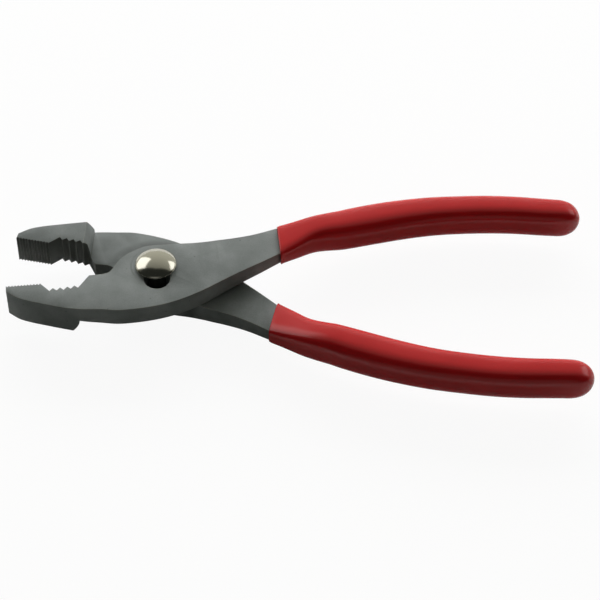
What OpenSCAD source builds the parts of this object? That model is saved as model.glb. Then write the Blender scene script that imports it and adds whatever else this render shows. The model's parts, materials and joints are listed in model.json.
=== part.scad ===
// Slip joint pliers: two forged halves, a domed pivot bolt with its nut, and two dipped grips.
// Each half is drawn closed, in its own plan: X runs along the closing line towards the
// handles, Y is across it, and the narrow pivot position is at the origin. In its own
// height the outer face is at zero and the face towards the other half is higher.

/* [Pose] */
// Angle between the two halves as the part is stored
open_angle = 18.4; // [4:0.2:40]

/* [Jaws] */
// Pivot to the tip of the jaws
jaw_reach = 51.7; // [48:0.1:58]
// Pivot to the line on which the jaws close
jaw_line = 3.6; // [3:0.1:4.2]
// Thickness of a jaw
jaw_t = 11; // [10:0.1:12.5]
// Depth of the blunt tip of a jaw
nose_h = 2.4; // [1.5:0.1:3]
// Length of the fine teeth behind the tip
bite_len = 11.7; // [9:0.1:13]
// Number of fine teeth
bite_teeth = 11; // [8:1:14]
// Height of a fine tooth
bite_tooth_h = 0.6; // [0.3:0.05:0.75]
// Gap left between the fine teeth of closed jaws
bite_gap = 0.2; // [0.1:0.05:0.4]
// Depth of the pipe groove under the closing line
groove_depth = 3.9; // [3:0.1:4.5]
// Run of the slope from the fine teeth into the groove
groove_entry = 3.1; // [2:0.1:4]
// Spacing of the coarse teeth
groove_pitch = 2.45; // [2.1:0.05:2.7]
// Number of coarse teeth
groove_teeth = 4; // [3:1:5]
// Height of a coarse tooth
groove_tooth_h = 1.2; // [0.7:0.1:1.5]
// Run of the slope from the groove up to the heel
heel_run = 4; // [3:0.1:5]
// Height of the heel over the closing line
heel_rise = 1.1; // [0.6:0.1:1.5]
// Length of the heel flat
heel_len = 4.3; // [3:0.1:5]

/* [Joint] */
// Thickness of one half at the joint
plate_t = 7; // [6.5:0.1:8]
// Pivot to the front edge of the joint plate
boss_front = 13.2; // [12.4:0.1:14.8]
// Pivot to the rear edge of the joint plate
boss_rear = 16.3; // [15.5:0.1:18]
// Diameter of the two holes of the slot
slot_d = 8.96; // [8:0.02:9.6]
// Distance between the two holes of the slot
slot_pitch = 6.55; // [6:0.05:7.2]
// Play between faces that slide on each other
play = 0.05; // [0.02:0.01:0.1]
// Radial clearance of the bolt in its holes
bolt_clear = 0.05; // [0.02:0.01:0.1]
// Run from the heel corner back to the step of the jaw
step_run = 2.6; // [2:0.1:3.6]
// Slant of the step across the jaw
step_angle = 10; // [6:0.5:14]
// Run of the rounded slope over the step
step_slope = 2.5; // [1.5:0.1:4]
// Height of the rounded slope over the step
step_rise = 4.2; // [3:0.1:5]
// Fullness of the slope, from a flat bevel at 1 to a quarter round at 2
step_bulge = 1.2; // [1:0.1:2]
// Length of the shallow ramp from the jaw to the joint on the outer face
face_ramp = 13; // [10:0.5:18]

/* [Bolt and nut] */
// Diameter of the domed head
head_d = 14.3; // [12.5:0.1:16]
// Height of the dome
dome_h = 2.9; // [2:0.1:3.6]
// Height of the rim under the dome
rim_h = 0.6; // [0.3:0.1:1.2]
// Height of the relief under the rim
relief_h = 0.4; // [0.2:0.1:0.8]
// How far the relief steps in from the rim
relief_in = 0.7; // [0.3:0.1:1.2]
// Diameter of the threaded end
thread_d = 8; // [7:0.1:8.4]
// Width of the nut across its flats
nut_af = 13; // [12:0.5:15]
// Height of the nut
nut_h = 3.5; // [2.5:0.1:5]
// Height of the bevel at the corners of the nut
nut_bevel = 0.6; // [0.3:0.1:1]

/* [Handles] */
// Pivot to the mouth of the grip
bare_len = 43.3; // [41:0.1:48]
// Pivot to the end of the upper grip
handle_reach = 151.8; // [140:0.2:170]
// Closing line to the middle of the handle where it bows out most
handle_bow = 23.7; // [21:0.1:27]
// Thickness of the bar inside the grip
bar_t = 6.8; // [6:0.1:7.6]
// Pivot to where the outer face starts to drop
drop_start = 22; // [19:0.5:25]
// Pivot to where the handle is level with the other one
drop_end = 66; // [60:0.5:80]
// Relief of the bare bar on the side of the other half
bar_relief = 0.5; // [0.2:0.1:1.2]
// Run of the slope into the relief
relief_run = 6; // [4:0.5:8]

/* [Grips] */
// Width of a grip at its widest
grip_w = 13.8; // [13:0.1:15]
// Height of a grip behind its flat mouth
grip_h = 12.2; // [11:0.1:13.5]
// Thickness of the dipped skin
skin_t = 1.2; // [0.9:0.05:1.6]
// Thickness of the skin over the end of the upper handle
skin_end = 2.2; // [1.5:0.1:4]
// How much further the lower grip reaches, as dipping leaves it
lower_extra = 2.1; // [0.2:0.1:3]
// Room between the skin and the bar
skin_clear = 0.02; // [0.01:0.01:0.05]
// Length of the rounded end
cap_len = 8.5; // [6:0.1:10]

/* [Hidden] */

// Facets of a round face, and points along each stretch of a curve
fine = 96;
curve_steps = 5;
edge_steps = 6;
arc_steps = 8;
// Overrun of every cut
over = 1;
steel = "#7c807c";
polish = "#c9ccca";
vinyl = "#b5262b";

// Heights of the stack, from the underside of the nut
half_z = nut_h + play;
stack_t = 2 * plate_t + play;
top_z = half_z + stack_t;
jaw_drop = (stack_t - jaw_t) / 2;
bar_drop = (stack_t - bar_t) / 2;

// Places along a half
bite_end = -jaw_reach + bite_len;
groove_x = bite_end + groove_entry;
groove_end = groove_x + groove_teeth * groove_pitch;
heel_x = groove_end + heel_run;
step_x = heel_x - step_run;
crest_y = jaw_line - bite_gap / 2;
groove_y = jaw_line - groove_depth;
heel_y = jaw_line + heel_rise;

// A smooth curve through points, with a number of steps between each two
function blend(a, b, c, d, t) =
    (2 * b + (c - a) * t + (2 * a - 5 * b + 4 * c - d) * pow(t, 2)
    + (3 * b - a - 3 * c + d) * pow(t, 3)) / 2;
function curve(p, steps) = [
    for (i = [0 : len(p) - 2], k = [0 : steps - (i < len(p) - 2 ? 1 : 0)])
        blend(p[max(i - 1, 0)], p[i], p[i + 1], p[min(i + 2, len(p) - 1)], k / steps)
];

// Front edge of a half: shares of the jaw reach and of the plate's front width,
// then shares of the bare length and of the same width
jaw_edge_shares = [
    [0.93, 0.165], [0.85, 0.325], [0.775, 0.44], [0.645, 0.63],
    [0.515, 0.8], [0.385, 0.91], [0.255, 1], [0.06, 0.965]
];
bar_front_shares = [[0.13, 0.825], [0.33, 0.555], [0.49, 0.27], [0.675, -0.1], [0.83, -0.39]];

// Rear edge of a half: shares of the way from the heel to the top of the plate,
// then shares of the bare length and of the plate's rear width
boss_curve_shares = [
    [0.13, 0.05], [0.21, 0.17], [0.29, 0.35], [0.39, 0.55], [0.53, 0.73], [0.67, 0.84], [0.81, 0.94]
];
heel_dip_share = 0.4;
boss_top_share = 0.09;
bar_rear_shares = [[0.83, 1.185], [0.685, 1.09], [0.495, 1.01], [0.33, 0.985], [0.2, 0.995]];

// Middle and half width of a grip: shares of the way along it, of the bow and of its width
grip_shares = [
    [0, 0.511, 0.534], [0.06, 0.634, 0.481], [0.11, 0.74, 0.438], [0.155, 0.799, 0.439],
    [0.24, 0.87, 0.489], [0.335, 0.934, 0.498], [0.425, 0.978, 0.484], [0.517, 0.998, 0.466],
    [0.608, 0.984, 0.454], [0.7, 0.951, 0.451], [0.79, 0.893, 0.445], [0.88, 0.81, 0.436],
    [0.935, 0.766, 0.42], [1, 0.742, 0.4]
];
function grip_curve(reach) = [
    for (s = curve(grip_shares, curve_steps))
        [bare_len + s[0] * (reach - bare_len), jaw_line + s[1] * handle_bow, s[2] * grip_w]
];

// Height of the outer face and of the inner face of the handle at a place along it
function ramp(x, x0, x1, h0, h1) = h0 + (h1 - h0) * min(max((x - x0) / (x1 - x0), 0), 1);
function outer_z(x) = ramp(x, drop_start, drop_end, 0, bar_drop);
function inner_z(x) = ramp(x, bare_len, drop_end, plate_t - bar_relief, stack_t - bar_drop);

// How far a grip has swelled from its flat mouth to its full height
function swell(x) = let (t = ramp(x, bare_len, drop_end, 0, 1)) pow(t, 2) * (3 - 2 * t);

// How a rounded end narrows, from 1 where it starts to 0 at its tip
function cap(x, x_end, power) = sqrt(1 - pow(min(max((x - x_end + cap_len) / cap_len, 0), 1), power));

// Steel inside the grip: its front edge, then its rear edge back to the mouth
bar_end = handle_reach - skin_end;
cap_round = 2.3;
bar_inset_share = 0.35;
function bar_w(p, grow) =
    (p[2] - skin_t * (1 + bar_inset_share * swell(p[0]))) * cap(p[0], bar_end, cap_round) + grow;
bar_points = [for (p = grip_curve(handle_reach)) if (p[0] < bar_end) p];
function bar_edge(side, grow) = [for (p = bar_points) [p[0], p[1] + side * bar_w(p, grow)]];
function reversed(p) = [for (i = [len(p) - 1 : -1 : 0]) p[i]];
handle_loop = concat(bar_edge(-1, 0), reversed(bar_edge(1, 0)));

// Teeth of one jaw, from the tip back to the heel
bite_pitch = bite_len / bite_teeth;
tooth_points = concat(
    [for (i = [0 : bite_teeth - 1], k = [0, 0.5])
        [-jaw_reach + (i + k) * bite_pitch, crest_y - 2 * k * bite_tooth_h]],
    [[bite_end, crest_y]],
    [for (i = [0 : groove_teeth], k = [0, 0.5]) if (i + k <= groove_teeth)
        [groove_x + (i + k) * groove_pitch, groove_y + 2 * k * groove_tooth_h]]
);

// Outline of a half in plan
tip = [-jaw_reach, crest_y - nose_h];
heel_end = [heel_x + heel_len, heel_y - heel_dip_share * heel_rise];
boss_top = [-boss_top_share * boss_rear, boss_rear];
front_points = concat(
    [tip],
    [for (s = jaw_edge_shares) [-s[0] * jaw_reach, -s[1] * boss_front]],
    [for (s = bar_front_shares) [s[0] * bare_len, -s[1] * boss_front]],
    [handle_loop[0]]
);
rear_points = concat(
    [handle_loop[len(handle_loop) - 1]],
    [for (s = bar_rear_shares) [s[0] * bare_len, s[1] * boss_rear]],
    [boss_top],
    [for (s = reversed(boss_curve_shares))
        [for (k = [0, 1]) heel_end[k] + s[k] * (boss_top[k] - heel_end[k])]],
    [heel_end]
);
outline = concat(
    curve(front_points, edge_steps),
    [for (i = [1 : len(handle_loop) - 2]) handle_loop[i]],
    curve(rear_points, edge_steps),
    [[heel_x, heel_y]],
    reversed(tooth_points)
);

// Side view of a half: heights along X
side_view = concat(
    [[-jaw_reach - over, jaw_drop], [step_x - face_ramp / 2, jaw_drop], [step_x + face_ramp / 2, 0]],
    [[drop_start, 0], [drop_end, bar_drop], [handle_reach, bar_drop]],
    [[handle_reach, stack_t - bar_drop], [drop_end, stack_t - bar_drop]],
    [[bare_len, plate_t - bar_relief], [drop_start, plate_t - bar_relief]],
    [[drop_start - relief_run, plate_t], [drop_start - relief_run, jaw_drop + jaw_t]],
    [[-jaw_reach - over, jaw_drop + jaw_t]]
);

// One forging before its holes, in its own plan and height
reach_y = handle_bow + boss_front + grip_w;
module blank() {
    difference() {
        intersection() {
            linear_extrude(stack_t) polygon(outline);
            across() polygon(side_view);
        }
        step_cut();
    }
}

// A side view drawn right across the half
module across() {
    rotate([90, 0, 0]) translate([0, 0, -jaw_line - reach_y]) linear_extrude(2 * reach_y) children();
}

// Room for the plate of the other half, behind the rounded step of the jaw
module step_cut() {
    jaw_top = jaw_drop + jaw_t;
    cut_end = (drop_start + bare_len) / 2 - step_x;
    round_edge = [for (i = [0 : arc_steps]) let (a = 90 * i / arc_steps)
        [step_slope * (pow(cos(a), 2 / step_bulge) - 1), jaw_top + step_rise * (pow(sin(a), 2 / step_bulge) - 1)]];
    translate([step_x, 0, 0]) rotate([0, 0, -step_angle]) across() polygon(concat(
        [[0, plate_t]], round_edge, [[-step_slope, stack_t + over], [cut_end, stack_t + over], [cut_end, plate_t]]
    ));
}

// Skin of a handle: rings of a rounded section along it, in the half's own plan and height.
// The section is squarish at the mouth, where it follows the bar, and rounder behind it
ring_sides = 24;
mouth_power = 0.5;
round_power = 0.72;
tip_share = 0.015;
function section(a, power) = [
    sign(cos(a)) * pow(abs(cos(a)), power), sign(sin(a)) * pow(abs(sin(a)), power)
];
function skin_ring(p, reach) = let (
    x = min(p[0], reach - tip_share * cap_len),
    full = swell(x),
    power = mouth_power + (round_power - mouth_power) * full,
    w = p[2] * cap(x, reach, cap_round),
    low = outer_z(x) - skin_t,
    high = inner_z(x) + skin_t,
    h = (high - low + (grip_h - high + low) * full) / 2 * cap(x, reach, cap_round)
) [for (k = [0 : ring_sides - 1]) let (s = section((k + 0.5) * 360 / ring_sides, power))
    [x, p[1] + w * s[0], (low + high) / 2 + h * s[1]]];

module skin(reach) {
    rings = [for (p = grip_curve(reach)) skin_ring(p, reach)];
    n = ring_sides;
    last = len(rings) - 1;
    difference() {
        polyhedron(
            points = [for (r = rings, q = r) q],
            faces = concat(
                [[for (k = [0 : n - 1]) k]],
                [for (i = [0 : last - 1], k = [0 : n - 1])
                    [i * n + k, (i + 1) * n + k, i * n + (k + 1) % n]],
                [for (i = [0 : last - 1], k = [0 : n - 1])
                    [i * n + (k + 1) % n, (i + 1) * n + k, (i + 1) * n + (k + 1) % n]],
                [[for (k = [n - 1 : -1 : 0]) last * n + k]]
            )
        );
        bar_room();
    }
}

// Room for the bar inside the skin
module bar_room() {
    g = skin_clear;
    near = bar_edge(-1, g);
    far = bar_edge(1, g);
    n = len(near) - 1;
    places = [bare_len, drop_end, handle_reach];
    low = concat([[bare_len - over, outer_z(bare_len) - g]], [for (x = places) [x, outer_z(x) - g]]);
    high = concat([[bare_len - over, inner_z(bare_len) + g]], [for (x = places) [x, inner_z(x) + g]]);
    intersection() {
        linear_extrude(stack_t) polygon(concat(
            [near[0] - [over, 0]], near, [near[n] + [g, 0], far[n] + [g, 0]], reversed(far), [far[0] - [over, 0]]
        ));
        across() polygon(concat(low, reversed(high)));
    }
}

// Places of the two halves: the slotted one on top, the other one under it
module as_slotted() {
    rotate([0, 0, open_angle / 2]) translate([0, -slot_pitch, top_z]) mirror([0, 0, 1]) children();
}
module as_pivot() {
    rotate([0, 0, -open_angle / 2]) translate([0, 2 * jaw_line, half_z]) mirror([0, 1, 0]) children();
}

// Upper half, with the two-hole slot
module slotted_half() {
    color(steel) as_slotted() difference() {
        blank();
        for (y = [0, slot_pitch])
            translate([0, y, -over]) cylinder(d = slot_d, h = plate_t + 2 * over, $fn = fine);
    }
}

// Lower half, with the round hole
module pivot_half() {
    color(steel) difference() {
        as_pivot() blank();
        translate([0, 0, half_z - over])
            cylinder(d = thread_d + 2 * bolt_clear, h = plate_t + 2 * over, $fn = fine);
    }
}

// Bolt: threaded end, shank with two flats that pass the neck of the slot, domed head.
// The flats run out a little below the shoulder of the shank
shank_d = slot_d - 2 * bolt_clear;
slot_neck = sqrt(pow(slot_d, 2) - pow(slot_pitch, 2));
flat_w = slot_neck - 4 * bolt_clear;
dome_r = (pow(head_d / 2, 2) + pow(dome_h, 2)) / (2 * dome_h);
module pivot_bolt() {
    shank_z = half_z + plate_t + play / 2;
    head_z = top_z + play;
    rim_z = head_z + relief_h;
    dome_top = rim_z + rim_h + dome_h;
    color(polish) {
        difference() {
            union() {
                cylinder(d = thread_d, h = head_z, $fn = fine);
                translate([0, 0, shank_z]) cylinder(d = shank_d, h = rim_z - shank_z, $fn = fine);
            }
            rotate([0, 0, open_angle / 2]) for (x = [-shank_d - flat_w / 2, flat_w / 2])
                translate([x, -shank_d, shank_z - relief_h]) cube([shank_d, 2 * shank_d, dome_top - shank_z]);
        }
        translate([0, 0, head_z]) cylinder(d = head_d - 2 * relief_in, h = relief_h + rim_h, $fn = fine);
        intersection() {
            translate([0, 0, rim_z]) cylinder(d = head_d, h = rim_h + dome_h + over, $fn = fine);
            translate([0, 0, dome_top - dome_r]) sphere(r = dome_r, $fn = fine);
        }
    }
}

// Nut under the lower half
module pivot_nut() {
    corner_d = nut_af / cos(30);
    slope_h = corner_d - nut_af;
    color(steel) difference() {
        intersection() {
            cylinder(d = corner_d, h = nut_h, $fn = 6);
            translate([0, 0, nut_bevel - nut_af / 2])
                cylinder(r1 = 0, r2 = nut_af + slope_h, h = nut_af + slope_h, $fn = fine);
        }
        translate([0, 0, -over]) cylinder(d = thread_d + 2 * bolt_clear, h = nut_h + 2 * over, $fn = fine);
    }
}

module slotted_half_grip() {
    color(vinyl) as_slotted() skin(handle_reach);
}

module pivot_half_grip() {
    color(vinyl) as_pivot() skin(handle_reach + lower_extra);
}

slotted_half();
pivot_half();
pivot_bolt();
pivot_nut();
slotted_half_grip();
pivot_half_grip();
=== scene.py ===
"""Slip joint pliers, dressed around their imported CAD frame.

Sizes of the pieces and their finishes are millimetres; MM turns them into the metres of the frame.
Each half has a turned frame of its own: X runs along its closing line towards the handles, and Z
stays up.
"""
import json
import logging
import math
from dataclasses import dataclass, field
from enum import Enum

import bmesh
import bpy
from mathutils import Matrix, Vector

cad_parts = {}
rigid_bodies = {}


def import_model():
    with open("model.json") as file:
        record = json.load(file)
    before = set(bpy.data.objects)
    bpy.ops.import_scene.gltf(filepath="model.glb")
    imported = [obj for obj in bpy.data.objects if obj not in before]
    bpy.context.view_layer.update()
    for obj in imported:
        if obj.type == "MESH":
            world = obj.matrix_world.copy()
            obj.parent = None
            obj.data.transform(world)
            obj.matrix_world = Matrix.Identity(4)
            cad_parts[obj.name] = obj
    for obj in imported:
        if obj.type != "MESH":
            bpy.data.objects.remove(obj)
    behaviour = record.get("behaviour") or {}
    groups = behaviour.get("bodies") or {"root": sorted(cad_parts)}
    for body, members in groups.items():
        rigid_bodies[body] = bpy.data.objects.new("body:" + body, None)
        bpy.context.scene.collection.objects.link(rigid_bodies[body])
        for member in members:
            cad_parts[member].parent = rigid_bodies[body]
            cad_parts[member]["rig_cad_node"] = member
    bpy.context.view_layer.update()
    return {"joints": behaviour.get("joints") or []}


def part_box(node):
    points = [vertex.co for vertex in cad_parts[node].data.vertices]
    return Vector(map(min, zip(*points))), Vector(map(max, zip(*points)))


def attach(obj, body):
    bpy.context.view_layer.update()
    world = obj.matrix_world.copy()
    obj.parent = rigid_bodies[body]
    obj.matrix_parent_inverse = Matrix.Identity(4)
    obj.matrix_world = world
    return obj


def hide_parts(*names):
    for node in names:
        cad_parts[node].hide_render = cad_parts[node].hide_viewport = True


MM = 0.001
LOG = logging.getLogger("pliers")
# A number, a colour or a vector, or the socket that gives it
Feed = float | tuple[float, ...] | bpy.types.NodeSocket
# Where nearly all values of a noise lie
NOISE_SPAN = (0.3, 0.7)
# Numbers of a mix node's two inputs and of its output, by what it mixes
MIX_SOCKETS = {"FLOAT": (2, 3, 0), "RGBA": (6, 7, 2)}
# Decimals of a metre in which two corners agree when they are one
CORNER_DECIMALS = 7
# Corners nearer than this along a handle belong to one section, in millimetres
SECTION_GAP = 0.01
# Points of a swept skin nearer than this are one, in millimetres
SKIN_WELD = 0.001


class Side(Enum):
    """Which way the teeth of a half face across its closing line."""

    SLOTTED = 1
    PIVOT = -1


def linear(code: str) -> tuple[float, float, float, float]:
    """Turn an sRGB colour into linear RGBA.

    Args:
        code: Colour as "#rrggbb".

    Returns:
        Linear red, green, blue and an alpha of one.
    """
    shares = [int(code[i:i + 2], 16) / 255 for i in (1, 3, 5)]
    red, green, blue = (s / 12.92 if s <= 0.04045 else ((s + 0.055) / 1.055) ** 2.4 for s in shares)
    return red, green, blue, 1.0


def add(tree: bpy.types.NodeTree, kind: str, inputs: dict[str | int, object] | None = None,
        **settings: object) -> bpy.types.Node:
    """Add a node with its settings, its input values and its links.

    Args:
        tree: Node tree that gets the node.
        kind: Type name of the node.
        inputs: Socket name or number, with a value or the output socket that feeds it.
        **settings: Properties of the node itself.

    Returns:
        The new node.
    """
    node = tree.nodes.new(kind)
    for name, value in settings.items():
        setattr(node, name, value)
    for key, value in (inputs or {}).items():
        if isinstance(value, bpy.types.NodeSocket):
            tree.links.new(value, node.inputs[key])
        else:
            node.inputs[key].default_value = value
    return node


def maths(tree: bpy.types.NodeTree, operation: str, *values: Feed) -> bpy.types.NodeSocket:
    """Work out a number from other numbers."""
    node = add(tree, "ShaderNodeMath", dict(enumerate(values)), operation=operation)
    return node.outputs["Value"]


def vectors(tree: bpy.types.NodeTree, operation: str, *values: Feed) -> bpy.types.NodeSocket:
    """Work out a vector from other vectors."""
    node = add(tree, "ShaderNodeVectorMath", dict(enumerate(values)), operation=operation)
    return node.outputs["Vector"]


def ramp(tree: bpy.types.NodeTree, value: Feed, span: tuple[float, float],
         result: tuple[float, float] = (0.0, 1.0), smooth: bool = False) -> bpy.types.NodeSocket:
    """Map one range of numbers to another.

    Args:
        tree: Node tree that gets the node.
        value: Number to map.
        span: Values at which the result reaches its two ends and stays there.
        result: Ends of the result.
        smooth: Whether the result eases in and out.

    Returns:
        The mapped number.
    """
    node = add(tree, "ShaderNodeMapRange", {
        "Value": value, "From Min": span[0], "From Max": span[1],
        "To Min": result[0], "To Max": result[1]},
        interpolation_type="SMOOTHSTEP" if smooth else "LINEAR")
    return node.outputs["Result"]


def mix(tree: bpy.types.NodeTree, factor: Feed, first: Feed, second: Feed,
        kind: str = "RGBA") -> bpy.types.NodeSocket:
    """Blend two colours or two numbers.

    Args:
        tree: Node tree that gets the node.
        factor: Zero for the first, one for the second.
        first: First colour or number.
        second: Second colour or number.
        kind: "RGBA" for colours, "FLOAT" for numbers.

    Returns:
        The blend.
    """
    first_at, second_at, result_at = MIX_SOCKETS[kind]
    node = add(tree, "ShaderNodeMix", {0: factor, first_at: first, second_at: second}, data_type=kind)
    return node.outputs[result_at]


def per_mm(size: float) -> float:
    """Texture scale whose features are about size millimetres wide."""
    return 1 / (size * MM)


def noise(tree: bpy.types.NodeTree, place: bpy.types.NodeSocket, size: float,
          detail: float) -> bpy.types.NodeSocket:
    """Add a noise whose features are about size millimetres wide."""
    node = add(tree, "ShaderNodeTexNoise", {"Vector": place, "Scale": per_mm(size), "Detail": detail})
    return node.outputs["Fac"]


def new_material(name: str) -> bpy.types.Material:
    """Make an empty node material.

    Args:
        name: Name of the material.

    Returns:
        The material, with no nodes in it.
    """
    material = bpy.data.materials.new(name)
    material.use_nodes = True
    material.node_tree.nodes.clear()
    return material


def finish_surface(tree: bpy.types.NodeTree, height: bpy.types.NodeSocket, depth: float,
                   inputs: dict[str, Feed]) -> None:
    """Close a material with a principled surface that is dented a little.

    Args:
        tree: Node tree of the material.
        height: Height of the dents, from zero to one.
        depth: Depth of the dents in millimetres.
        inputs: Inputs of the principled surface.
    """
    bump = add(tree, "ShaderNodeBump", {"Height": height, "Distance": depth * MM, "Strength": 1.0})
    surface = add(tree, "ShaderNodeBsdfPrincipled", {**inputs, "Normal": bump.outputs["Normal"]})
    add(tree, "ShaderNodeOutputMaterial", {"Surface": surface.outputs["BSDF"]})


@dataclass(frozen=True)
class MatteSteel:
    """Tool steel that isn't polished, most of it phosphated: matte grey with a fine, even grain.

    The grain is about three times as coarse as the real grit, so that it shows. A speck's size is
    given as shares of the specks' spacing.
    """

    name: str
    pale: str = "#898e8d"
    deep: str = "#797e7d"
    metallic: float = 0.0
    roughness: float = 0.52
    roughness_swing: float = 0.05
    gloss: float = 0.17
    grain: float = 0.3
    grain_detail: float = 3.0
    grain_swing: float = 0.1
    dent: float = 0.012
    mottle: float = 11.0
    mottle_detail: float = 2.0
    mottle_span: tuple[float, float] = (0.35, 0.65)
    speck_spacing: float = 5.0
    speck_shares: tuple[float, float] = (0.03, 0.07)
    speck_tone: float = 0.65
    rub_and_shade_radius: float = 0.0
    rub_and_shade_width: float = 0.5
    rub_and_shade_tone: float = 0.75
    rub_and_shade_gaps: tuple[float, float] = (0.45, 0.6)

    def material(self) -> bpy.types.Material:
        """Build the material.

        Returns:
            A mottled grey with grain, dark specks and, where it has a radius, a darker ring about the
            pivot:
            rubbed wear round the bolt's head, painted shade along the upper plate's edge on the lower
            half.
        """
        made = new_material(self.name)
        tree = made.node_tree
        place = add(tree, "ShaderNodeTexCoord").outputs["Object"]
        grain = noise(tree, place, self.grain, self.grain_detail)
        mottle = noise(tree, place, self.mottle, self.mottle_detail)
        body = mix(tree, ramp(tree, mottle, self.mottle_span), linear(self.deep), linear(self.pale))
        shade = ramp(tree, grain, NOISE_SPAN, (1 - self.grain_swing, 1 + self.grain_swing))
        cells = add(tree, "ShaderNodeTexVoronoi", {
            "Vector": place, "Scale": per_mm(self.speck_spacing)})
        specks = ramp(tree, cells.outputs["Distance"], self.speck_shares, (self.speck_tone, 1.0))
        tone = maths(tree, "MULTIPLY", shade, specks)
        # Darker ring about the pivot: rubbed wear round the bolt's head, painted shade by the upper
        # plate's edge on the lower half
        if self.rub_and_shade_radius:
            tone = maths(tree, "MULTIPLY", tone, self.rub_and_shade_ring(tree, place, mottle))
        rough = ramp(tree, grain, NOISE_SPAN, (
            self.roughness - self.roughness_swing, self.roughness + self.roughness_swing))
        finish_surface(tree, grain, self.dent, {
            "Base Color": vectors(tree, "MULTIPLY", body, tone), "Metallic": self.metallic,
            "Specular IOR Level": self.gloss, "Roughness": rough})
        return made

    def rub_and_shade_ring(self, tree: bpy.types.NodeTree, place: bpy.types.NodeSocket,
                 patchy: bpy.types.NodeSocket) -> bpy.types.NodeSocket:
        """Add a faint darker ring about the pivot: rubbed wear round the bolt's head, and on the lower
        half painted shade along the upper plate's edge.

        Args:
            tree: Node tree of the material.
            place: Place on the piece, with the pivot on the Z axis.
            patchy: A slow noise that breaks the ring up.

        Returns:
            A factor, a little under one on the ring and one elsewhere.
        """
        flat = vectors(tree, "MULTIPLY", place, (1.0, 1.0, 0.0))
        radius = add(tree, "ShaderNodeVectorMath", {0: flat}, operation="LENGTH").outputs["Value"]
        away = maths(tree, "ABSOLUTE", maths(tree, "SUBTRACT", radius, self.rub_and_shade_radius * MM))
        ring = ramp(tree, away, (0.0, self.rub_and_shade_width * MM), (self.rub_and_shade_tone, 1.0), smooth=True)
        return mix(tree, ramp(tree, patchy, self.rub_and_shade_gaps), 1.0, ring, "FLOAT")


@dataclass(frozen=True)
class PolishedNickel:
    """Nickel-plated steel, buffed: a warm mirror softened by fine hairlines."""

    name: str
    colour: str = "#c4c1b5"
    roughness_span: tuple[float, float] = (0.11, 0.18)
    hairline: float = 0.12
    hairline_length: float = 4.0
    hairline_turn: float = 35.0
    hairline_detail: float = 2.0
    dent: float = 0.0004

    def material(self) -> bpy.types.Material:
        """Build the material.

        Returns:
            A metal with hairlines that all run one way.
        """
        made = new_material(self.name)
        tree = made.node_tree
        along, across = per_mm(self.hairline_length), per_mm(self.hairline)
        drawn = add(tree, "ShaderNodeMapping", {
            "Vector": add(tree, "ShaderNodeTexCoord").outputs["Object"],
            "Rotation": (0.0, 0.0, math.radians(self.hairline_turn)), "Scale": (along, across, along)})
        lines = add(tree, "ShaderNodeTexNoise", {
            "Vector": drawn.outputs["Vector"], "Scale": 1.0, "Detail": self.hairline_detail})
        finish_surface(tree, lines.outputs["Fac"], self.dent, {
            "Base Color": linear(self.colour), "Metallic": 1.0,
            "Roughness": ramp(tree, lines.outputs["Fac"], NOISE_SPAN, self.roughness_span)})
        return made


@dataclass(frozen=True)
class DippedVinyl:
    """Plastisol that the handle was dipped in: even red, a soft gloss and faint orange peel."""

    name: str
    pale: str = "#c41b20"
    deep: str = "#ba181d"
    roughness_span: tuple[float, float] = (0.13, 0.22)
    ior: float = 1.53
    gloss: float = 0.38
    cloud: float = 18.0
    cloud_detail: float = 2.0
    cloud_span: tuple[float, float] = (0.1, 0.9)
    peel: float = 1.5
    peel_detail: float = 1.0
    peel_height: float = 0.012

    def material(self) -> bpy.types.Material:
        """Build the material.

        Returns:
            A glossy red whose tone and shine drift slowly along the handle.
        """
        made = new_material(self.name)
        tree = made.node_tree
        place = add(tree, "ShaderNodeTexCoord").outputs["Object"]
        cloud = noise(tree, place, self.cloud, self.cloud_detail)
        peel = noise(tree, place, self.peel, self.peel_detail)
        drift = ramp(tree, cloud, self.cloud_span, smooth=True)
        finish_surface(tree, peel, self.peel_height, {
            "Base Color": mix(tree, drift, linear(self.deep), linear(self.pale)),
            "IOR": self.ior, "Specular IOR Level": self.gloss,
            "Roughness": ramp(tree, cloud, self.cloud_span, self.roughness_span, smooth=True)})
        return made


# Zinc phosphate on a blasted forging: its crystals scatter the light, so a face reads as dry, even
# grey, with a faint darker ring round the head of the bolt
PHOSPHATED = MatteSteel("blasted_phosphated_steel", rub_and_shade_radius=8.6)
# The same coat on the lower half: a shade darker, with an arc of painted shade round the pivot where
# the upper plate's edge stands over it
PHOSPHATED_LOWER = MatteSteel(
    "blasted_phosphated_steel_lower", pale="#818685", deep="#717675",
    rub_and_shade_radius=16.8, rub_and_shade_width=3.6, rub_and_shade_tone=0.6)
# Edges that hands have thinned the coat on: a fine, paler line with some of the steel's own shine
HANDLED_EDGE = MatteSteel(
    "steel_edge_rubbed_bright", pale="#94968f", deep="#7f827d", metallic=0.4, roughness=0.42)
# Heavy black phosphate: the nut sinks into the shadow under the tool, with a slight oily sheen
BLACK_PHOSPHATE = MatteSteel(
    "black_phosphated_steel", pale="#5c5f5c", deep="#4c504d", roughness=0.45)
# Corners that a spanner has been on: half bare steel, so the six edges catch the light
NUT_EDGE = MatteSteel(
    "black_phosphate_worn_thin", pale="#84867f", deep="#6e706c", metallic=0.5, roughness=0.4)
# Upright faces of the teeth and throat: a darker copy of the steel, painted shade in the mouth's
# grooves and hollow, with a slightly wet, oiled gloss
MOUTH_PAINTED_SHADE = MatteSteel(
    "broached_steel_oiled", pale="#6b6e6b", deep="#5c5f5c", roughness=0.45, gloss=0.2)
# Shank as turned, with oil on it: dark in the slot, so only the head shines
SHANK = MatteSteel("turned_steel_oiled", pale="#5c5e5b", deep="#4c4f4c", roughness=0.4, gloss=0.2)
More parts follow.
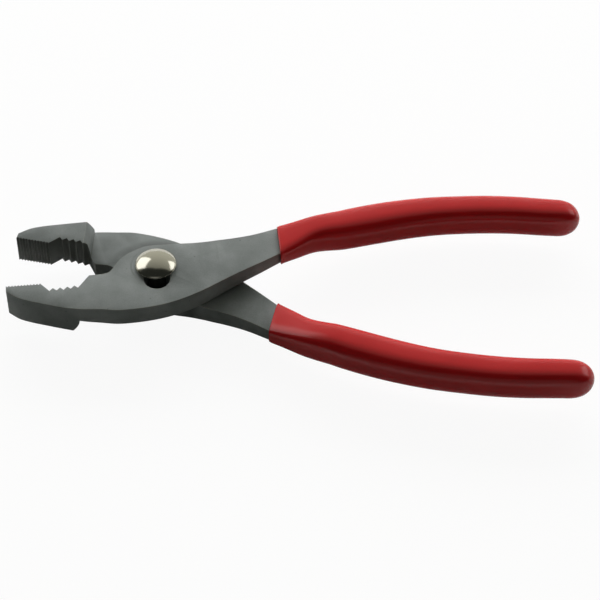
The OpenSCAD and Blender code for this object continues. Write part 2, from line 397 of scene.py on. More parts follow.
# Nickel over a buffed dome: a warm mirror with soft bands of the room, pale behind, dark in front
NICKEL = PolishedNickel("buffed_nickel_plate")
# Plastisol from the dipping tank: deep, even red with a soft shine that rolls over the round handle
VINYL = DippedVinyl("dipped_red_vinyl")


def mesh_object(name: str, mesh: bpy.types.Mesh) -> bpy.types.Object:
    """Link a mesh as an object at the origin.

    Args:
        name: Name of the object.
        mesh: Its mesh.

    Returns:
        The object.
    """
    made = bpy.data.objects.new(name, mesh)
    bpy.context.scene.collection.objects.link(made)
    return made


def baked(source: bpy.types.Object) -> bpy.types.Object:
    """Turn an object with modifiers into a plain mesh object of the same name.

    Args:
        source: Object whose modifiers give the shape. It is removed.

    Returns:
        The plain object.
    """
    graph = bpy.context.evaluated_depsgraph_get()
    mesh = bpy.data.meshes.new_from_object(
        source.evaluated_get(graph), preserve_all_data_layers=True, depsgraph=graph)
    name = source.name
    source.modifiers.clear()
    bpy.data.objects.remove(source)
    return mesh_object(name, mesh)


def cad_nodes() -> dict[str, bpy.types.Object]:
    """CAD nodes by name, as the frame made them."""
    return {o["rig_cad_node"]: o for o in bpy.data.objects if "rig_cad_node" in o}


def turned_points(node: str, turn: float) -> list[Vector]:
    """Corners of a CAD node in the turned frame of a half, each once.

    Args:
        node: Name of the CAD node.
        turn: Angle of the half's own X axis about Z, in radians.

    Returns:
        Points in metres.
    """
    back = Matrix.Rotation(-turn, 3, "Z")
    places = {tuple(round(c, CORNER_DECIMALS) for c in v.co) for v in cad_nodes()[node].data.vertices}
    return [back @ Vector(place) for place in places]


@dataclass
class Piece:
    """A visible piece that stands for one CAD node and moves with its body."""

    node: str
    body: str
    slot: str

    def build(self) -> bpy.types.Object:
        """Make the dressed object."""
        raise NotImplementedError

    def place(self) -> bpy.types.Object:
        """Build the piece and hand it to the frame.

        Returns:
            The finished object.
        """
        made = self.build()
        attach(made, self.body)
        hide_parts(self.node)
        LOG.info("%s: %d faces on %s", made.name, len(made.data.polygons), self.body)
        return made


@dataclass
class RoundedPiece(Piece):
    """A piece whose shape is the CAD solid with its sharp edges rounded off.

    Angles are degrees: faces that lean less than flat_angle to each other are one, and an edge is
    sharp from the crease angle on.
    """

    finish: MatteSteel
    edge_finish: MatteSteel
    edge: float = 0.15
    crease: float = 26.0
    rounds: int = 3
    weld: float = 0.002
    flat_angle: float = 0.3

    def share(self, edge: bmesh.types.BMEdge) -> float:
        """Share of the full rounding that a sharp edge gets."""
        return 1.0

    def finish_number(self, face: bmesh.types.BMFace) -> int:
        """Which of the finishes a face of the unrounded solid gets."""
        return 0

    def finishes(self) -> list[MatteSteel]:
        """Finishes in the order of their numbers, with the one for rounded edges second."""
        return [self.finish, self.edge_finish]

    def build(self) -> bpy.types.Object:
        """Round a merged copy of the CAD node.

        Returns:
            The rounded object, with the rounded edges in the second material.
        """
        mesh = cad_nodes()[self.node].data.copy()
        mesh.materials.clear()
        form = bmesh.new()
        form.from_mesh(mesh)
        bmesh.ops.remove_doubles(form, verts=form.verts, dist=self.weld * MM)
        bmesh.ops.dissolve_limit(
            form, angle_limit=math.radians(self.flat_angle), verts=form.verts, edges=form.edges,
            use_dissolve_boundaries=False)
        form.normal_update()
        weight = form.edges.layers.float.new("bevel_weight_edge")
        for edge in form.edges:
            if edge.is_convex and edge.calc_face_angle() > math.radians(self.crease):
                edge[weight] = self.share(edge)
        for face in form.faces:
            face.smooth = True
            face.material_index = self.finish_number(face)
        form.to_mesh(mesh)
        form.free()
        made = mesh_object(self.node + "_dressed", mesh)
        for finish in self.finishes():
            mesh.materials.append(finish.material())
        rounding = made.modifiers.new("rounding", "BEVEL")
        rounding.width = self.edge * MM
        rounding.segments = self.rounds
        rounding.limit_method = "WEIGHT"
        rounding.use_clamp_overlap = False
        rounding.harden_normals = True
        rounding.material = 1
        return baked(made)


@dataclass
class ForgedHalf(RoundedPiece):
    """Jaw, joint plate and handle bar, forged in one piece.

    The runs are lengths from the tip of the jaw. A face in the mouth gets the darker finish, painted
    shade, where it is upright within upright_limit and faces the closing line, or turns from it by
    no more than facing_limit, both as shares of its unit normal. Faces of a step lean from the
    upright by more than step_lean.
    """

    side: Side = Side.SLOTTED
    turn: float = 0.0
    mouth_shade_finish: MatteSteel = MOUTH_PAINTED_SHADE
    tooth_run: float = 26.0
    tooth_share: float = 0.3
    tip_margin: float = 0.1
    throat_run: float = 41.0
    throat_depth: float = 9.6
    upright_limit: float = 0.2
    facing_limit: float = 0.4
    step_lean: float = 0.3
    back: Matrix = field(init=False)
    tip: float = field(init=False)
    crest: float = field(init=False)

    def __post_init__(self) -> None:
        """Find the tip and the crest of the teeth in the half's own frame."""
        points = turned_points(self.node, self.turn)
        self.back = Matrix.Rotation(-self.turn, 3, "Z")
        self.tip = min(p.x for p in points)
        near_tip = [p for p in points if p.x < self.tip + self.tooth_run * MM]
        self.crest = max(self.side.value * p.y for p in near_tip)

    def share(self, edge: bmesh.types.BMEdge) -> float:
        """Share of the full rounding that a sharp edge gets.

        Args:
            edge: Sharp edge of the solid.

        Returns:
            Little at the teeth and over the step, one elsewhere.
        """
        in_run = all((self.back @ v.co).x < self.tip + self.tooth_run * MM for v in edge.verts)
        at_teeth = in_run and any(map(self.finish_number, edge.link_faces))
        over_step = all(abs(f.normal.z) > self.step_lean for f in edge.link_faces)
        return self.tooth_share if at_teeth or over_step else 1.0

    def finish_number(self, face: bmesh.types.BMFace) -> int:
        """Which of the finishes a face of the unrounded solid gets.

        Args:
            face: Face of the solid.

        Returns:
            The number of the darker finish, painted shade of the mouth, for an upright face at the
            teeth or in the throat, else zero.
        """
        middle, way = self.back @ face.calc_center_median(), self.back @ face.normal
        run = (middle.x - self.tip) / MM
        depth = (self.crest - self.side.value * middle.y) / MM
        in_mouth = self.tip_margin < run < self.throat_run and depth < self.throat_depth
        upright = abs(way.z) < self.upright_limit
        faces_line = self.side.value * way.y > -self.facing_limit
        # Upright faces in the mouth get the darker finish: painted shade of the teeth and throat
        return 2 if in_mouth and upright and faces_line else 0

    def finishes(self) -> list[MatteSteel]:
        """Finishes in the order of their numbers, with the painted shade of the mouth last."""
        return [self.finish, self.edge_finish, self.mouth_shade_finish]


@dataclass
class Ring:
    """One section of a swept skin, in the turned frame and in metres."""

    x: float
    y: float
    z: float
    width: float
    height: float
    fullness: float

    def inset(self, x: float, by: float) -> "Ring":
        """The same section at another place along the handle, smaller all round."""
        return Ring(x, self.y, self.z, self.width - by, self.height - by, self.fullness)


def blend_rings(rings: list[Ring], x: float) -> Ring:
    """Section between two measured ones.

    Args:
        rings: Sections in rising order of x.
        x: Place along the handle.

    Returns:
        The section at x, or the nearest one outside the measured run.
    """
    if x <= rings[0].x or x >= rings[-1].x:
        end = rings[0] if x <= rings[0].x else rings[-1]
        return end.inset(x, 0.0)
    k = next(i for i, r in enumerate(rings) if r.x > x)
    a, b = rings[k - 1], rings[k]
    t = (x - a.x) / (b.x - a.x)
    return Ring(x, *(p + (q - p) * t for p, q in zip(
        (a.y, a.z, a.width, a.height, a.fullness), (b.y, b.z, b.width, b.height, b.fullness))))


def roundness(row: list[Vector], size: Ring, facets: int) -> float:
    """Power of a rounded section, from the corners that stand near its diagonals.

    Args:
        row: Corners of the section.
        size: Middle and half sizes of the section.
        facets: How many corners the section has.

    Returns:
        The power, small for a square section and one for an oval.
    """
    reach = max(min(abs(p.y - size.y) / size.width, abs(p.z - size.z) / size.height) for p in row)
    step = math.pi / facets
    return math.log(reach) / math.log(math.cos(math.pi / 4 + step) / math.cos(step))


def measured_rings(node: str, turn: float, least: int, fullness: float = 0.0) -> list[Ring]:
    """Read the sections of a CAD node along its own X.

    Args:
        node: Name of the CAD node.
        turn: Angle of the half's own X axis about Z, in radians.
        least: How many corners a section has at least.
        fullness: Power of the rounded section, or zero to measure it.

    Returns:
        Sections in rising order of x.
    """
    rows: list[list[Vector]] = []
    for p in sorted(turned_points(node, turn), key=lambda q: q.x):
        if rows and p.x - rows[-1][0].x < SECTION_GAP * MM:
            rows[-1].append(p)
        else:
            rows.append([p])
    rings = []
    for row in (r for r in rows if len(r) >= least):
        ys, zs = [p.y for p in row], [p.z for p in row]
        ring = Ring(row[0].x, (min(ys) + max(ys)) / 2, (min(zs) + max(zs)) / 2,
                    (max(ys) - min(ys)) / 2, (max(zs) - min(zs)) / 2, fullness)
        ring.fullness = fullness or roundness(row, ring, least)
        rings.append(ring)
    return rings


def geometry_tree(name: str,
                  kinds: dict[str, str]) -> tuple[bpy.types.GeometryNodeTree, bpy.types.Node]:
    """Start a Geometry Nodes tree that takes a geometry and other values and gives a geometry.

    Args:
        name: Name of the tree.
        kinds: Kinds of the other inputs by their names.

    Returns:
        The tree and the node that gives its inputs.
    """
    tree = bpy.data.node_groups.new(name, "GeometryNodeTree")
    for label, kind in {"Geometry": "Geometry", **kinds}.items():
        tree.interface.new_socket(name=label, in_out="INPUT", socket_type="NodeSocket" + kind)
    tree.interface.new_socket(name="Geometry", in_out="OUTPUT", socket_type="NodeSocketGeometry")
    return tree, add(tree, "NodeGroupInput")


def sweep_tree() -> bpy.types.GeometryNodeTree:
    """Geometry Nodes tree that lays a rounded section at each point of a guide.

    The seam of a very square section stays open: the sine of a full turn isn't quite zero, and a
    small power enlarges it. On a grip that is the inner wall, where the bar hides it.

    Returns:
        A tree whose guide points carry the attribute section: half width, half height and fullness.
    """
    tree, given = geometry_tree("skin_sweep", {
        "Around": "Int", "Across": "Vector", "Material": "Material"})
    guide, around = given.outputs["Geometry"], given.outputs["Around"]
    size = add(tree, "GeometryNodeAttributeDomainSize", {"Geometry": guide}, component="MESH")
    rows = size.outputs["Point Count"]
    last_row = maths(tree, "SUBTRACT", rows, 1.0)
    grid = add(tree, "GeometryNodeMeshGrid", {
        "Size X": around, "Size Y": last_row, "Vertices X": maths(tree, "ADD", around, 1.0),
        "Vertices Y": rows})
    position = add(tree, "GeometryNodeInputPosition").outputs["Position"]
    place = add(tree, "ShaderNodeSeparateXYZ", {0: position}).outputs
    row = maths(tree, "ROUND", maths(tree, "ADD", place["Y"], maths(tree, "MULTIPLY", last_row, 0.5)))
    angle = maths(tree, "MULTIPLY", maths(tree, "DIVIDE", place["X"], around), math.tau)
    section = add(tree, "GeometryNodeInputNamedAttribute", {"Name": "section"},
                  data_type="FLOAT_VECTOR")
    centre, at_row = (
        add(tree, "GeometryNodeSampleIndex", {"Geometry": guide, "Value": value, "Index": row},
            data_type="FLOAT_VECTOR").outputs["Value"]
        for value in (position, section.outputs["Attribute"]))
    sizes = add(tree, "ShaderNodeSeparateXYZ", {0: at_row}).outputs
    offsets = []
    for operation, half in (("COSINE", "X"), ("SINE", "Y")):
        wave = maths(tree, operation, angle)
        full = maths(tree, "POWER", maths(tree, "ABSOLUTE", wave), sizes["Z"])
        unit = maths(tree, "MULTIPLY", full, maths(tree, "SIGN", wave))
        offsets.append(maths(tree, "MULTIPLY", unit, sizes[half]))
    sideways = add(tree, "ShaderNodeVectorMath", {0: given.outputs["Across"], "Scale": offsets[0]},
                   operation="SCALE").outputs["Vector"]
    upwards = add(tree, "ShaderNodeCombineXYZ", {"Z": offsets[1]}).outputs["Vector"]
    point = vectors(tree, "ADD", centre, vectors(tree, "ADD", sideways, upwards))
    swept = add(tree, "GeometryNodeSetPosition", {"Geometry": grid.outputs["Mesh"], "Position": point})
    welded = add(tree, "GeometryNodeMergeByDistance", {
        "Geometry": swept.outputs["Geometry"], "Distance": SKIN_WELD * MM})
    smooth = add(tree, "GeometryNodeSetShadeSmooth", {"Geometry": welded.outputs["Geometry"]})
    real = add(tree, "GeometryNodeRealizeInstances", {"Geometry": smooth.outputs["Geometry"]})
    dressed = add(tree, "GeometryNodeSetMaterial", {
        "Geometry": real.outputs["Geometry"], "Material": given.outputs["Material"]})
    add(tree, "NodeGroupOutput", {"Geometry": dressed.outputs["Geometry"]})
    return tree


def grow(source: bpy.types.Object, tree: bpy.types.GeometryNodeTree,
         values: dict[str, object]) -> bpy.types.Object:
    """Run a Geometry Nodes tree on an object and keep the result as a plain mesh.

    Args:
        source: Object that the tree reads. It is removed.
        tree: The tree.
        values: Values of the tree's named inputs.

    Returns:
        The plain object.
    """
    modifier = source.modifiers.new(tree.name, "NODES")
    modifier.node_group = tree
    for item in tree.interface.items_tree:
        if item.in_out == "INPUT" and item.name in values:
            modifier[item.identifier] = values[item.name]
    return baked(source)


def face_outwards(made: bpy.types.Object) -> None:
    """Turn the faces of a skin outwards.

    Args:
        made: Object with the mesh.
    """
    form = bmesh.new()
    form.from_mesh(made.data)
    if form.calc_volume(signed=True) < 0:
        bmesh.ops.reverse_faces(form, faces=form.faces)
    form.to_mesh(made.data)
    form.free()


@dataclass
class DippedGrip(Piece):
    """Vinyl skin over a handle bar, with a rounded end and a thin rolled lip at its mouth.

    A CAD section on the rounded end is scaled back to the full one where more than cap_kept of it
    is left, and sections nearer than cap_margin in front of that end give way to its own.
    """

    bar_node: str
    turn: float
    finish: DippedVinyl = VINYL
    around: int = 64
    facets: int = 24
    bar_corners: int = 4
    bar_fullness: float = 0.12
    cap_length: float = 8.5
    cap_power: float = 2.3
    cap_steps: int = 14
    cap_kept: float = 0.5
    cap_margin: float = 0.3
    lip_round: float = 0.45
    lip_steps: int = 4
    clearance: float = 0.02

    def cap(self, x: float, end: float) -> float:
        """How much of the full section is left near the rounded end.

        Args:
            x: Place along the handle.
            end: Place of the very end.

        Returns:
            One before the rounded end, falling to zero at the very end.
        """
        t = min(max((x - end) / (self.cap_length * MM) + 1, 0), 1)
        return math.sqrt(max(1 - t ** self.cap_power, 0))

    def whole_rings(self, measured: list[Ring], end: float) -> list[Ring]:
        """Sections of the round skin, as they would be without the rounded end.

        Args:
            measured: Sections of the CAD skin.
            end: Place of the very end.

        Returns:
            Sections whose curve runs through the corners of the CAD skin.
        """
        whole = []
        for ring in measured:
            left = self.cap(ring.x, end)
            if left > self.cap_kept:
                fit = left * math.cos(math.pi / self.facets) ** ring.fullness
                whole.append(Ring(ring.x, ring.y, ring.z, ring.width / fit, ring.height / fit,
                                  ring.fullness))
        return whole

    def outer_rings(self) -> list[Ring]:
        """Sections of the outer skin, from the rounded end to the mouth.

        Returns:
            Sections that follow the CAD skin, with more of them over the rounded end.
        """
        measured = measured_rings(self.node, self.turn, self.facets)
        end, length = measured[-1].x, self.cap_length * MM
        whole = self.whole_rings(measured, end)
        rings = []
        for k in range(self.cap_steps, -1, -1):
            x = end - length * (1 - math.sin(k * math.pi / 2 / self.cap_steps))
            at, middle, left = blend_rings(whole, x), blend_rings(measured, x), self.cap(x, end)
            rings.append(Ring(x, middle.y, middle.z, at.width * left, at.height * left, at.fullness))
        return rings + [r for r in reversed(whole) if r.x < end - length - self.cap_margin * MM]

    def lip_rings(self, mouth: Ring, inner: Ring) -> list[Ring]:
        """Sections of the rounded lip, from the outside round to the bar.

        Args:
            mouth: Outer section at the mouth.
            inner: Section of the room for the bar at the mouth.

        Returns:
            Sections of the lip.
        """
        size = self.lip_round * MM
        turns = [k * math.pi / 2 / self.lip_steps for k in range(self.lip_steps + 1)]
        rings = [mouth.inset(mouth.x + size * (1 - math.sin(a)), size * (1 - math.cos(a)))
                 for a in turns]
        return rings + [inner.inset(mouth.x, 0.0)]

    def inner_rings(self) -> list[Ring]:
        """Sections of the room for the bar.

        Returns:
            Sections from the mouth to the closed end, a clearance larger than the bar.
        """
        bar = measured_rings(self.bar_node, self.turn, self.bar_corners, self.bar_fullness)
        mouth = measured_rings(self.node, self.turn, self.facets)[0].x
        return [r.inset(r.x, -self.clearance * MM) for r in bar if r.x > mouth - SECTION_GAP * MM]

    def build(self) -> bpy.types.Object:
        """Sweep the skin along its sections.

        Returns:
            The finished skin.
        """
        outer, inner = self.outer_rings(), self.inner_rings()
        mouth, deep = outer[-1], inner[-1]
        last = deep.x + self.clearance * MM
        closing = [deep.inset(last, 0.0), Ring(last, deep.y, deep.z, 0.0, 0.0, self.bar_fullness)]
        rings = [r for r in outer if r.x > mouth.x + self.lip_round * MM]
        rings += self.lip_rings(mouth, inner[0]) + inner[1:] + closing
        spin = Matrix.Rotation(self.turn, 3, "Z")
        guide = bpy.data.meshes.new(self.node + "_guide")
        guide.from_pydata([spin @ Vector((r.x, r.y, r.z)) for r in rings],
                          [(i, i + 1) for i in range(len(rings) - 1)], [])
        section = guide.attributes.new("section", "FLOAT_VECTOR", "POINT")
        for item, ring in zip(section.data, rings):
            item.vector = (ring.width, ring.height, ring.fullness)
        made = grow(mesh_object(self.node + "_dressed", guide), sweep_tree(), {
            "Around": self.around, "Across": spin @ Vector((0, 1, 0)),
            "Material": self.finish.material()})
        face_outwards(made)
        return made


def thread_tree(turn_steps: int, ridge_sides: int) -> bpy.types.GeometryNodeTree:
    """Geometry Nodes tree that winds a ridge round the Z axis and joins it to the given shank.

    Args:
        turn_steps: Steps in each turn of the ridge.
        ridge_sides: Sides of the ridge.

    Returns:
        A tree with inputs for the thread's turns, radius, height, start and ridge, and for the
        height where the buffed head starts.
    """
    tree, node = geometry_tree("wound_thread", {
        "Turns": "Float", "Radius": "Float", "Height": "Float", "Start": "Float", "Ridge": "Float",
        "Head Start": "Float", "Shank Material": "Material", "Head Material": "Material"})
    given = node.outputs
    helix = add(tree, "GeometryNodeCurveSpiral", {
        "Resolution": turn_steps, "Rotations": given["Turns"], "Start Radius": given["Radius"],
        "End Radius": given["Radius"], "Height": given["Height"]})
    profile = add(tree, "GeometryNodeCurvePrimitiveCircle", {
        "Resolution": ridge_sides, "Radius": given["Ridge"]})
    ridge = add(tree, "GeometryNodeCurveToMesh", {
        "Curve": helix.outputs["Curve"], "Profile Curve": profile.outputs["Curve"], "Fill Caps": True})
    lift = add(tree, "ShaderNodeCombineXYZ", {"Z": given["Start"]})
    placed = add(tree, "GeometryNodeTransform", {
        "Geometry": ridge.outputs["Mesh"], "Translation": lift.outputs["Vector"]})
    joined = add(tree, "GeometryNodeJoinGeometry")
    for part in (placed.outputs["Geometry"], given["Geometry"]):
        tree.links.new(part, joined.inputs["Geometry"])
    real = add(tree, "GeometryNodeRealizeInstances", {"Geometry": joined.outputs["Geometry"]})
    dull = add(tree, "GeometryNodeSetMaterial", {
        "Geometry": real.outputs["Geometry"], "Material": given["Shank Material"]})
    position = add(tree, "GeometryNodeInputPosition").outputs["Position"]
    height = add(tree, "ShaderNodeSeparateXYZ", {0: position}).outputs["Z"]
    dressed = add(tree, "GeometryNodeSetMaterial", {
        "Geometry": dull.outputs["Geometry"], "Material": given["Head Material"],
        "Selection": maths(tree, "GREATER_THAN", height, given["Head Start"])})
    add(tree, "NodeGroupOutput", {"Geometry": dressed.outputs["Geometry"]})
    return tree


@dataclass
class PivotBolt(Piece):
    """Domed bolt: threaded end, shank with two flats, and a buffed head on a small relief.

    The rounded edge of the rim has a ring at each of rim_shares of the dome's lean there. It starts
    rim_drop of its size under the rim's top and draws in faster than a true round, by rim_squash.
    """

    turn: float
    finish: PolishedNickel = NICKEL
    shank_finish: MatteSteel = SHANK
    around: int = 128
    thread_radius: float = 4.0
    thread_depth: float = 0.35
    thread_length: float = 3.3
    pitch: float = 1.0
    turn_steps: int = 48
    ridge_sides: int = 4
    ridge_share: float = 0.9
    chamfer: float = 0.5
    flat_start: float = 10.175
    shank_start: float = 10.575
    shank_radius: float = 4.43
    flat_width: float = 5.91
    head_start: float = 17.65
    relief: float = 0.4
    relief_inset: float = 0.7
    rim: float = 0.6
    rim_round: float = 0.22
    rim_shares: tuple[float, ...] = (0.15, 0.43, 0.71, 0.99)
    rim_squash: float = 0.6
    rim_drop: float = 0.9
    dome_steps: int = 20
    weld: float = 0.0005
    sliver: float = 0.0002
    sharp_angle: float = 35.0

    def shank_rings(self) -> list[tuple[float, float, bool]]:
        """Rings from the threaded end to the foot of the head.

        Returns:
            Radius, height, and whether the flats cut the ring, in millimetres.
        """
        thread, shank = self.thread_radius, self.shank_radius
        core = thread - self.thread_depth
        return [
            (0.0, 0.0, False), (core - self.chamfer, 0.0, False), (core, self.chamfer, False),
            (core, self.thread_length, False), (thread, self.thread_length + self.thread_depth, False),
            (thread, self.flat_start, False), (thread, self.flat_start, True),
            (thread, self.shank_start, True), (shank, self.shank_start, True),
            (shank, self.head_start, True),
        ]

    def head_rings(self) -> list[tuple[float, float, bool]]:
        """Rings from the relief under the head to the top of the dome.

        Returns:
            Radius, height, and whether the flats cut the ring, in millimetres.
        """
        low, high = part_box(self.node)
        radius, top = (high.x - low.x) / 2 / MM, high.z / MM
        rim_low = self.head_start + self.relief
        rim_high = rim_low + self.rim
        dome = top - rim_high
        dome_radius = (radius ** 2 + dome ** 2) / (2 * dome)
        rings = [
            (radius - self.relief_inset, self.head_start), (radius - self.relief_inset, rim_low),
            (radius - self.rim_round / 2, rim_low), (radius, rim_low + self.rim_round / 2),
        ]
        lean = math.asin(radius / dome_radius)
        for a in (lean * share for share in self.rim_shares):
            rings.append((radius - self.rim_round * (1 - math.cos(a)) / self.rim_squash,
                          rim_high - self.rim_round * (self.rim_drop - math.sin(a))))
        edge_angle = math.asin((radius - self.rim_round) / dome_radius)
        for a in (edge_angle * (1 - k / self.dome_steps) for k in range(self.dome_steps + 1)):
            rings.append((dome_radius * math.sin(a), top - dome_radius * (1 - math.cos(a))))
        return [(across, height, False) for across, height in rings]

    def corner(self, radius: float, height: float, angle: float, cut: bool) -> Vector:
        """A point of a ring, moved onto the flats where they cut it.

        Args:
            radius: Radius of the ring.
            height: Height of the ring.
            angle: Direction of the point, from the flats' own X.
            cut: Whether the flats cut this ring.

        Returns:
            The point in metres, in the frame.
        """
        u, v = radius * math.cos(angle), radius * math.sin(angle)
        if cut:
            u = min(max(u, -self.flat_width / 2), self.flat_width / 2)
        return Matrix.Rotation(self.turn, 3, "Z") @ Vector((u, v, height)) * MM

    def lathe(self) -> bpy.types.Mesh:
        """Turn the rings into a closed mesh.

        Returns:
            The bolt without its thread, smooth but for its sharp edges.
        """
        rings, n = self.shank_rings() + self.head_rings(), self.around
        points = [self.corner(r, z, math.tau * k / n, cut) for r, z, cut in rings for k in range(n)]
        faces = [(i * n + k, i * n + (k + 1) % n, (i + 1) * n + (k + 1) % n, (i + 1) * n + k)
                 for i in range(len(rings) - 1) for k in range(n)]
        mesh = bpy.data.meshes.new(self.node)
        mesh.from_pydata(points, [], faces)
        form = bmesh.new()
        form.from_mesh(mesh)
        bmesh.ops.remove_doubles(form, verts=form.verts, dist=self.weld * MM)
        bmesh.ops.dissolve_degenerate(form, dist=self.sliver * MM, edges=form.edges)
        bmesh.ops.recalc_face_normals(form, faces=form.faces)
        for face in form.faces:
            face.smooth = True
        form.to_mesh(mesh)
        form.free()
        mesh.set_sharp_from_angle(angle=math.radians(self.sharp_angle))
        return mesh

    def build(self) -> bpy.types.Object:
        """Turn the bolt and wind the thread on its end.

        Returns:
            The finished bolt.
        """
        length = self.thread_length - 2 * self.chamfer
        tree = thread_tree(self.turn_steps, self.ridge_sides)
        return grow(mesh_object(self.node + "_dressed", self.lathe()), tree, {
            "Turns": length / self.pitch, "Radius": (self.thread_radius - self.thread_depth) * MM,
            "Height": length * MM, "Start": self.chamfer * MM,
            "Ridge": self.thread_depth * self.ridge_share * MM, "Head Start": self.head_start * MM,
            "Shank Material": self.shank_finish.material(), "Head Material": self.finish.material()})


@dataclass(frozen=True)
class Softbox:
    """A rectangular lamp that either lights the object or only shows in its reflections.

    Its sizes and its distance from the object are metres.
    """

    name: str
    direction: tuple[float, float, float]
    width: float
    height: float
    radiance: float
    mirrored: bool = True
    distance: float = 1.5

    def build(self) -> None:
        """Hang the lamp with its face towards the object."""
        towards = Vector(self.direction).normalized()
        lamp = bpy.data.lights.new(self.name, "AREA")
        lamp.shape = "RECTANGLE"
        lamp.size, lamp.size_y = self.width, self.height
        lamp.energy = self.radiance * math.pi * self.width * self.height
        made = bpy.data.objects.new(self.name, lamp)
        made.visible_glossy = self.mirrored
        made.visible_diffuse = not self.mirrored
        made.location = towards * self.distance
        made.rotation_euler = towards.to_track_quat("Z", "Y").to_euler()
        bpy.context.scene.collection.objects.link(made)


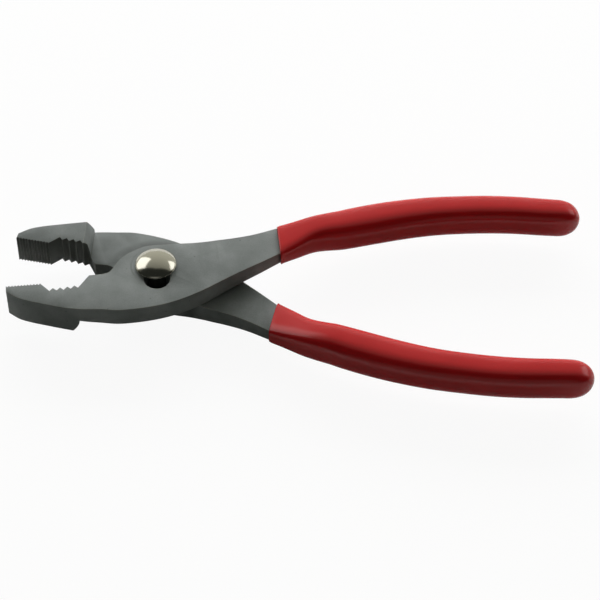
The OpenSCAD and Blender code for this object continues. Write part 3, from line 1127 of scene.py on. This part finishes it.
@dataclass(frozen=True)
class Studio:
    """White floor, a room that is pale behind and dark over the camera, softboxes and the camera.

    The floor's radius and the camera's clipping are metres, and the other sizes millimetres. The
    spans of the room are parts of a unit vector that points the way a ray goes: front_span is where
    the low grey in front turns dark, and back_span where the dark over the camera turns pale.
    """

    softboxes: tuple[Softbox, ...] = (
        Softbox("left_softbox", (-0.72, 0.45, 0.53), width=1.1, height=1.2, radiance=1.5),
        Softbox("right_softbox", (0.76, 0.44, 0.46), width=0.85, height=0.6, radiance=1.43),
        Softbox("back_softbox", (0.0, 0.92, 0.39), width=2.4, height=0.7, radiance=7.4,
                mirrored=False),
    )
    floor_radius: float = 6.0
    floor_sides: int = 64
    floor_gap: float = 0.05
    floor_seen: str = "#ffffff"
    floor_bounce: str = "#c8c8c8"
    floor_glow: float = 0.93
    fibre: float = 3.0
    fibre_detail: float = 2.0
    fibre_tone: float = 0.995
    room_back: str = "#d2d2c7"
    room_top: str = "#8e8e86"
    room_front: str = "#2b2d2a"
    room_low: str = "#848480"
    front_span: tuple[float, float] = (-0.9, -0.76)
    back_span: tuple[float, float] = (-0.19, -0.06)
    side_bend: float = -0.2
    lens: float = 123.0
    clip: tuple[float, float] = (0.01, 50.0)
    swing: float = math.radians(3.22)
    camera_place: tuple[float, float, float] = (49.62, -490.4, 525.9)
    camera_target: tuple[float, float, float] = (49.62, -16.38, 17.6)

    def build(self) -> None:
        """Build the whole studio."""
        self.build_floor()
        self.build_room()
        for softbox in self.softboxes:
            softbox.build()
        self.build_camera()

    def build_floor(self) -> None:
        """Lay the floor just under the object."""
        turns = [math.tau * k / self.floor_sides for k in range(self.floor_sides)]
        corners = [(math.cos(a) * self.floor_radius, math.sin(a) * self.floor_radius,
                    -self.floor_gap * MM) for a in turns]
        mesh = bpy.data.meshes.new("floor")
        mesh.from_pydata(corners, [], [tuple(range(self.floor_sides))])
        mesh.materials.append(self.floor_material())
        floor = mesh_object("floor", mesh)

    def floor_material(self) -> bpy.types.Material:
        """Build white paper that looks different to each kind of ray.

        Returns:
            Paper that glows white to the camera, is plain white with shadows in mirrors and glass,
            and sends less light back up to the object.
        """
        made = new_material("white_paper_sweep")
        tree = made.node_tree
        ray = add(tree, "ShaderNodeLightPath").outputs
        seen = maths(tree, "MAXIMUM", ray["Is Camera Ray"], ray["Is Glossy Ray"])
        clear = maths(tree, "MAXIMUM", seen, ray["Is Transmission Ray"])
        place = add(tree, "ShaderNodeTexCoord").outputs["Object"]
        fibres = noise(tree, place, self.fibre, self.fibre_detail)
        tone = ramp(tree, fibres, (0.0, 1.0), (self.fibre_tone, 1.0))
        plain = add(tree, "ShaderNodeBsdfDiffuse", {
            "Color": vectors(tree, "MULTIPLY", linear(self.floor_seen)[:3], tone)})
        lit = add(tree, "ShaderNodeEmission", {"Color": linear(self.floor_seen), "Strength": 1.0})
        white = add(tree, "ShaderNodeMixShader", {
            0: maths(tree, "MULTIPLY", ray["Is Camera Ray"], self.floor_glow),
            1: plain.outputs["BSDF"], 2: lit.outputs["Emission"]})
        bounce = add(tree, "ShaderNodeBsdfDiffuse", {"Color": linear(self.floor_bounce)})
        both = add(tree, "ShaderNodeMixShader", {
            0: clear, 1: bounce.outputs["BSDF"], 2: white.outputs["Shader"]})
        add(tree, "ShaderNodeOutputMaterial", {"Surface": both.outputs["Shader"]})
        return made

    def build_room(self) -> None:
        """Light the room by direction: pale behind, dark over the camera, grey low in front."""
        world = bpy.data.worlds.new("room")
        bpy.context.scene.world = world
        world.use_nodes = True
        tree = world.node_tree
        tree.nodes.clear()
        toward = add(tree, "ShaderNodeTexCoord").outputs["Generated"]
        way = add(tree, "ShaderNodeSeparateXYZ", {0: toward}).outputs
        behind = ramp(tree, way["Y"], (0.0, 1.0))
        far = mix(tree, behind, linear(self.room_top), linear(self.room_back))
        low = ramp(tree, way["Y"], self.front_span, smooth=True)
        near = mix(tree, low, linear(self.room_low), linear(self.room_front))
        aside = maths(tree, "ABSOLUTE", way["X"])
        depth = maths(tree, "MULTIPLY_ADD", aside, self.side_bend, way["Y"])
        room = mix(tree, ramp(tree, depth, self.back_span, smooth=True), near, far)
        light = add(tree, "ShaderNodeBackground", {"Color": room, "Strength": 1.0})
        add(tree, "ShaderNodeOutputWorld", {"Surface": light.outputs["Background"]})

    def build_camera(self) -> None:
        """Set the camera at the photograph's angle."""
        spin = Matrix.Rotation(self.swing, 3, "Z")
        place, target = (spin @ Vector(p) * MM for p in (self.camera_place, self.camera_target))
        lens = bpy.data.cameras.new("camera")
        lens.lens = self.lens
        lens.clip_start, lens.clip_end = self.clip
        made = bpy.data.objects.new("camera", lens)
        made.location = place
        made.rotation_euler = (place - target).to_track_quat("Z", "Y").to_euler()
        bpy.context.scene.collection.objects.link(made)
        bpy.context.scene.camera = made


def main() -> None:
    """Build the studio and every piece."""
    logging.basicConfig(level=logging.INFO, format="%(message)s")
    for leftover in list(bpy.data.objects):
        bpy.data.objects.remove(leftover)
    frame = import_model()
    slip = next(j["axis"] for j in frame["joints"] if j["name"] == "slot_slip")
    turn = math.atan2(-slip[0], slip[1])
    bpy.context.scene.view_settings.view_transform = "Standard"
    Studio().build()
    for piece in (
        ForgedHalf("slotted_half", "upper_half", "forged_steel", PHOSPHATED, HANDLED_EDGE,
                   side=Side.SLOTTED, turn=turn),
        ForgedHalf("pivot_half", "lower_half", "forged_steel", PHOSPHATED_LOWER, HANDLED_EDGE,
                   side=Side.PIVOT, turn=-turn),
        DippedGrip("slotted_half_grip", "upper_half", "vinyl", "slotted_half", turn),
        DippedGrip("pivot_half_grip", "lower_half", "vinyl", "pivot_half", -turn),
        PivotBolt("pivot_bolt", "pivot", "plated_steel", turn),
        RoundedPiece("pivot_nut", "pivot", "dark_steel", BLACK_PHOSPHATE, NUT_EDGE, edge=0.2),
    ):
        piece.place()


if __name__ == "__main__":
    main()
